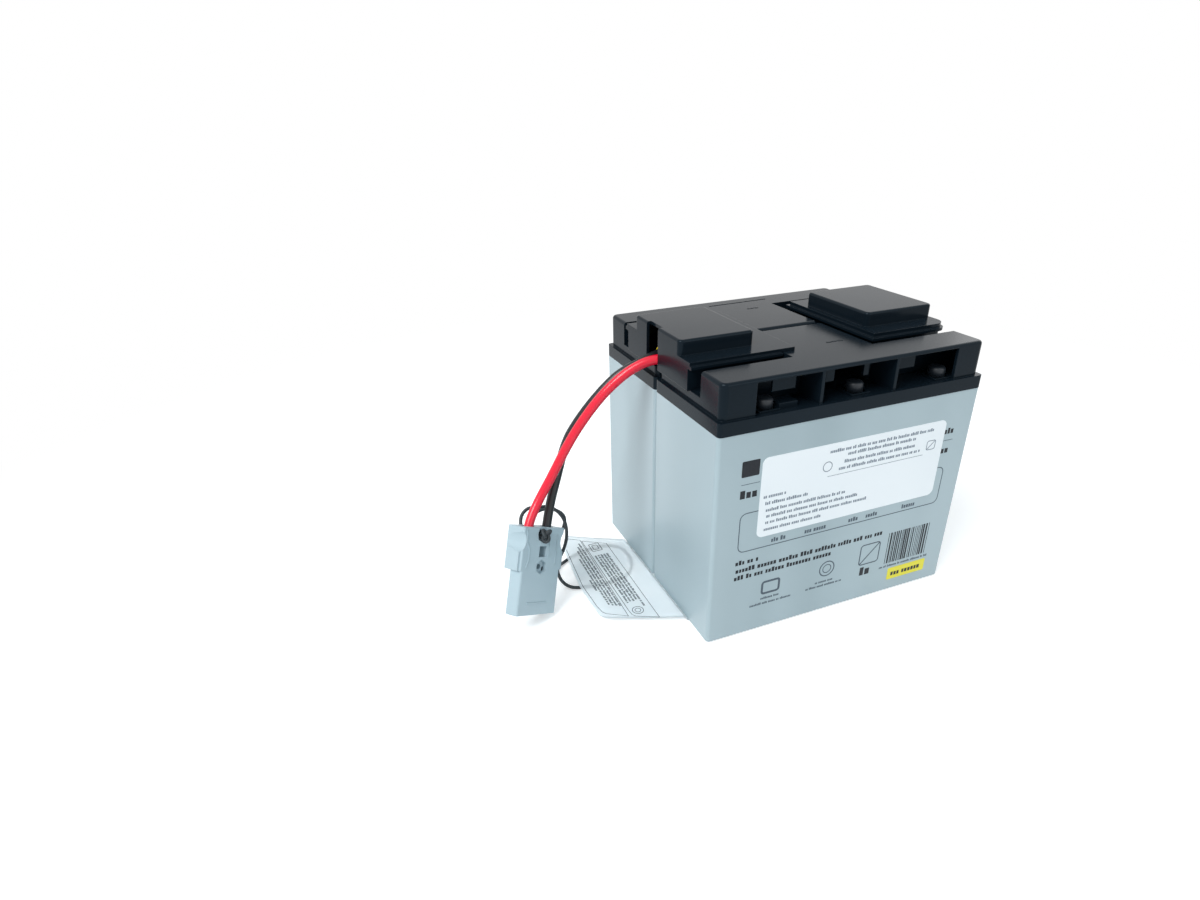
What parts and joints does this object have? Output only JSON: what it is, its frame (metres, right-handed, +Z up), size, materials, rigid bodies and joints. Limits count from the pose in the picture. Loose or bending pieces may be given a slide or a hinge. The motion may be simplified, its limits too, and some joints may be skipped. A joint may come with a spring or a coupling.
{
  "type": "ups battery cartridge",
  "caption": "Battery cartridge of sealed batteries side by side, with end covers, two leads to a flat connector, a pull cord and a pull film.",
  "frame": {"origin": "on the resting face, at the middle of the pack's length and at the joint between the two batteries", "axes": "+X along the batteries away from the leads, +Y from the front battery to the back one, +Z up"},
  "size_m": [0.29, 0.153, 0.1785],
  "materials": {
    "case_plastic": "smooth light grey plastic, semi-gloss",
    "lid_plastic": "glossy black plastic",
    "cap_rubber": "satin black rubber",
    "foam": "white foam tape",
    "terminal_metal": "tinned lead alloy",
    "bolt_steel": "zinc plated steel",
    "link_copper": "tinned copper, plain",
    "lug_copper": "tinned copper",
    "sleeve_yellow": "yellow vinyl",
    "lead_red": "red vinyl insulation",
    "lead_black": "black vinyl insulation",
    "connector_plastic": "light grey moulded plastic",
    "contact_silver": "silver plated copper",
    "spring_steel": "stainless spring steel",
    "cord_black": "black elastic cord",
    "film": "thin translucent white film",
    "label_white": "white satin label",
    "label_yellow": "yellow sticker"
  },
  "bodies": {
    "root": {"front_case": "case_plastic", "back_case": "case_plastic", "lower_bonding_pad": "foam", "upper_bonding_pad": "foam", "front_lid": "lid_plastic", "back_lid": "lid_plastic", "front_valve_caps": "cap_rubber", "back_valve_caps": "cap_rubber", "left_cover": "lid_plastic", "right_cover": "lid_plastic", "front_left_terminal": "terminal_metal", "front_right_terminal": "terminal_metal", "back_left_terminal": "terminal_metal", "back_right_terminal": "terminal_metal", "link_bar": "link_copper", "spring_washers": "bolt_steel", "terminal_bolts": "bolt_steel", "red_lug": "lug_copper", "black_lug": "lug_copper", "red_lug_sleeve": "sleeve_yellow", "black_lug_sleeve": "sleeve_yellow", "red_lead": "lead_red", "black_lead": "lead_black", "connector_housing": "connector_plastic", "red_contact": "contact_silver", "black_contact": "contact_silver", "contact_springs": "spring_steel", "pull_cord": "cord_black", "cord_knot": "cord_black", "pull_film": "film", "white_label": "label_white", "yellow_label": "label_yellow"}
  },
  "joints": []
}
